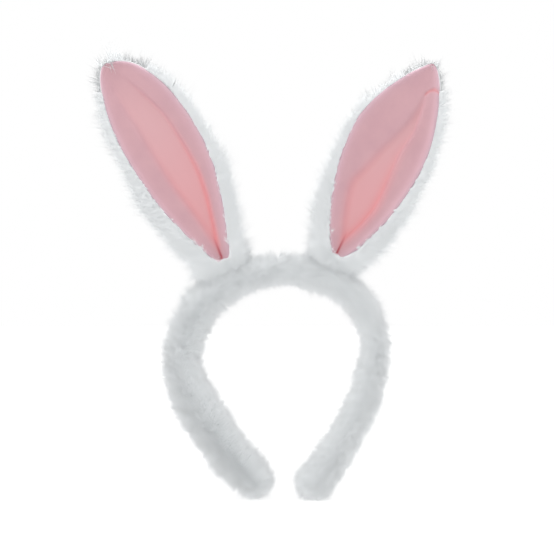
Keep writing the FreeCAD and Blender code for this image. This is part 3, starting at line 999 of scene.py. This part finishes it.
def ear_pile(ear, body, seed):
    """Pile on the back, and on the edge that shows beside the lining."""
    root_at, across_to, back_to, up_to = (np.array(v) for v in ear_frame(ear.side))

    def local(points):
        away = (points - root_at) / MM
        across = away @ across_to
        cup = CUP_RADIUS - np.sqrt(CUP_RADIUS ** 2 - np.clip(across, -60, 60) ** 2)
        return across, away @ back_to - EAR_FRONT + cup, away @ up_to

    def past_lining(across, height):
        """How far a place lies outside the lining's edge."""
        away, half = ear.halves_at(across, height)
        return np.where(height < LINING_START, 3.0, np.abs(away) - half)

    def lay(root, out):
        across, _, height = local(root)
        away, _ = ear.halves_at(across, height)
        sideways = np.clip(away / 14.0, -1, 1)
        facing = np.clip(-(out @ back_to), 0, 1)
        rising = np.clip((height - 3.0) / 12.0, 0.0, 1.0) * (0.7 - 0.2 * facing)
        return (up_to * rising[:, None]
                + across_to * (sideways * (0.35 + 0.75 * facing))[:, None])

    def length(root):
        across, depth, height = local(root)
        past = past_lining(across, height)
        near = np.where(depth > 1.5, 1.0, np.clip(past / 4.0, 0, 1))
        outer = np.clip(past / 6.0, 0, 1) * (depth < 2.5)
        tip = np.clip((height / ear.length - 0.45) / 0.3, 0, 1) * (depth < 2.5)
        longer = np.where(across > 0, TIP_PILE[ear.side][1], TIP_PILE[ear.side][0])
        grown = EAR_PILE + 1.5 * outer + longer * tip
        return grown * (0.50 + 0.50 * near) * sinking(height) * MM

    def at_pinch(across, height, out):
        away, half = ear.halves_at(across, height)
        low = (height > 1.6) & (height < 11.0)
        return low & (np.abs(away) < half + 1.2) & (out @ back_to < 0.3)

    for i, label in enumerate(("edge", "back")):
        def keep(points, out):
            across, depth, height = local(points)
            wanted = (out @ back_to < 0.0) == (label == "edge")
            rim = np.where(height > 0.9 * ear.length, 1.6, -0.6)
            covered = (past_lining(across, height) < rim) & (depth < 2.7) & (out @ back_to < 0.5)
            return wanted * ~covered * ~at_pinch(across, height, out) * (height > -6.0) * 1.0

        piece = grow_pile("%s_ear_%s_pile" % (ear.side, label), body, label, length, lay,
                          seed + i, keep)
        flop_bend(piece, ear.side)

    def at_root(points, out):
        across, _, height = local(points)
        ragged = -1.0 + 1.5 * uneven(points, np.random.default_rng(seed))
        fewer = np.clip((10.0 - height) / 5.0, 0, 1)
        return fewer * (height > ragged) * ~at_pinch(across, height, out)

    def falling(root, out):
        return up_to * -1.2 + across_to * np.clip(local(root)[0] / 14.0, -1, 1)[:, None] * 0.4

    def falling_length(root):
        return SKIRT_PILE * sinking(local(root)[2]) * MM

    skirt = grow_pile(ear.side + "_ear_skirt_pile", body, "skirt", falling_length, falling,
                      seed + 7, at_root, wild=0.6)
    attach(skirt, ear.side + "_ear_lower")


def make_ear(side, seed):
    """One ear: its plush back, lining, wire, threads and pile."""
    ear = Ear(side)
    body = ear_body(ear)
    skin = bpy.data.objects.new("skin", body.data.copy())
    flop_bend(body, side)
    lining, area = ear_lining(ear)
    flop_bend(lining, side)
    wire = ear_threads(ear)
    widest = 2 * max(ear.half(True, 0.5), ear.half(False, 0.5)) * MM
    ear_pile(ear, skin, seed)
    bpy.data.objects.remove(skin)


# ------------------------------------------------------------------ carried over CAD pieces
def finish_cad_pieces():
    looks = {"core": CORE, "wire_foot": WIRE, "foot_tape": TAPE}
    for name, piece in frame["nodes"].items():
        look = next((mat for key, mat in looks.items() if key in name), None)
        if look:
            for slot in piece.material_slots:
                slot.material = look


# ------------------------------------------------------------------ studio
def studio():
    """A pale floor, even light from all round and one soft box overhead."""
    bpy.ops.mesh.primitive_plane_add(size=6, location=(0, 0, CAD_BOX[0][2] - 0.5 * MM))
    floor = bpy.context.object
    floor.name = "studio_floor"
    mat, _, _, shader = material("pale studio floor")
    shader.inputs["Base Color"].default_value = (0.3, 0.3, 0.3, 1)
    shader.inputs["Roughness"].default_value = 1.0
    shader.inputs["Emission Color"].default_value = (1, 1, 1, 1)
    shader.inputs["Emission Strength"].default_value = 0.75
    floor.data.materials.append(mat)

    world = bpy.data.worlds.new("white studio")
    world.use_nodes = True
    bpy.context.scene.world = world
    nodes, links = world.node_tree.nodes, world.node_tree.links
    backdrop = nodes["Background"]
    direction = nodes.new("ShaderNodeTexCoord")
    parts = nodes.new("ShaderNodeSeparateXYZ")
    links.new(direction.outputs["Generated"], parts.inputs[0])
    turned = node(nodes, "ShaderNodeMapRange", From_Min=-1.0, From_Max=1.0)
    links.new(parts.outputs["Y"], turned.inputs["Value"])
    falloff = nodes.new("ShaderNodeFloatCurve")
    curve = falloff.mapping.curves[0]
    for place, level in ROUND_LEVELS:
        if place in (0.0, 1.0):
            curve.points[0 if place == 0.0 else -1].location = (place, level)
        else:
            curve.points.new(place, level)
    falloff.mapping.update()
    links.new(turned.outputs["Result"], falloff.inputs["Value"])
    strength = node(nodes, "ShaderNodeMath", operation="MULTIPLY")
    links.new(falloff.outputs["Value"], strength.inputs[0])
    strength.inputs[1].default_value = ROUND_LIGHT
    seen = nodes.new("ShaderNodeLightPath")
    white = node(nodes, "ShaderNodeMix")
    links.new(seen.outputs["Is Camera Ray"], white.inputs[0])
    links.new(strength.outputs[0], white.inputs[2])
    white.inputs[3].default_value = 1.0
    links.new(white.outputs[0], backdrop.inputs["Strength"])
    backdrop.inputs["Color"].default_value = (1, 1, 1, 1)

    light = bpy.data.lights.new("overhead_softbox", "AREA")
    light.size = 0.8
    light.energy = 3.0
    lamp = into_scene("overhead_softbox", light)
    lamp.location = (-0.25, -0.35, 0.95)
    aim = Vector((0, 0, 0.02)) - lamp.location
    lamp.rotation_euler = aim.to_track_quat("-Z", "Y").to_euler()

    view = bpy.context.scene.view_settings
    view.view_transform = "Standard"
    view.look = "None"


def camera():
    eye = bpy.data.cameras.new("front_camera")
    eye.lens = CAMERA_LENS
    eye.sensor_width = CAMERA_SENSOR
    holder = into_scene("front_camera", eye)
    holder.location = (0, -CAMERA_DISTANCE, CAMERA_HEIGHT)
    holder.rotation_euler = (math.pi / 2, 0, 0)
    bpy.context.scene.camera = holder


camera()
studio()
band_half("left", 11)
band_half("right", 21)
make_ear("left", 31)
make_ear("right", 41)
finish_cad_pieces()
